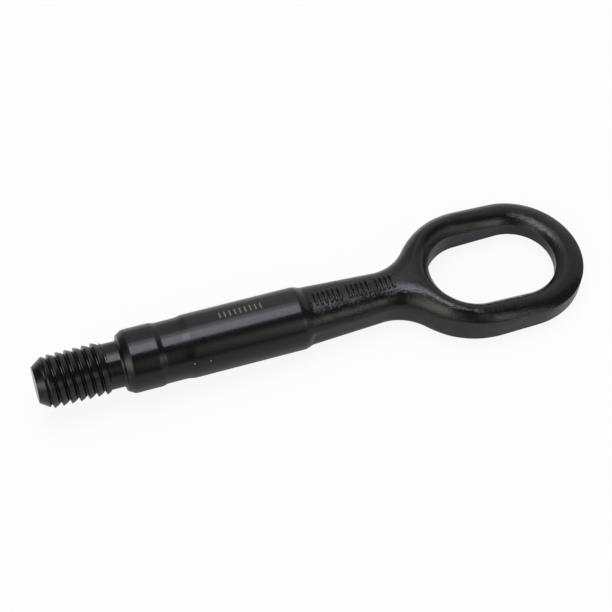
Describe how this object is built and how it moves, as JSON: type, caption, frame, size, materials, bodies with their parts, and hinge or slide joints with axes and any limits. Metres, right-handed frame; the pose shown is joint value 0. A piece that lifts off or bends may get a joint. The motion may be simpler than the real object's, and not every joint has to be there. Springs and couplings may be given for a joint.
{
  "type": "screw-in towing eye",
  "caption": "Forged steel towing eye on a turned round shank that ends in a short coarse thread; black painted, oblong eye that thins towards its tip.",
  "frame": {"origin": "centre of the flat end face at the threaded end", "axes": "+X along the shank towards the eye, +Z square to the flat of the eye, +Y across the eye"},
  "size_m": [0.197, 0.0494, 0.022],
  "materials": {
    "black_paint": "satin black over turned and forged steel"
  },
  "bodies": {
    "root": {"tow_hook": "black_paint"}
  },
  "joints": []
}
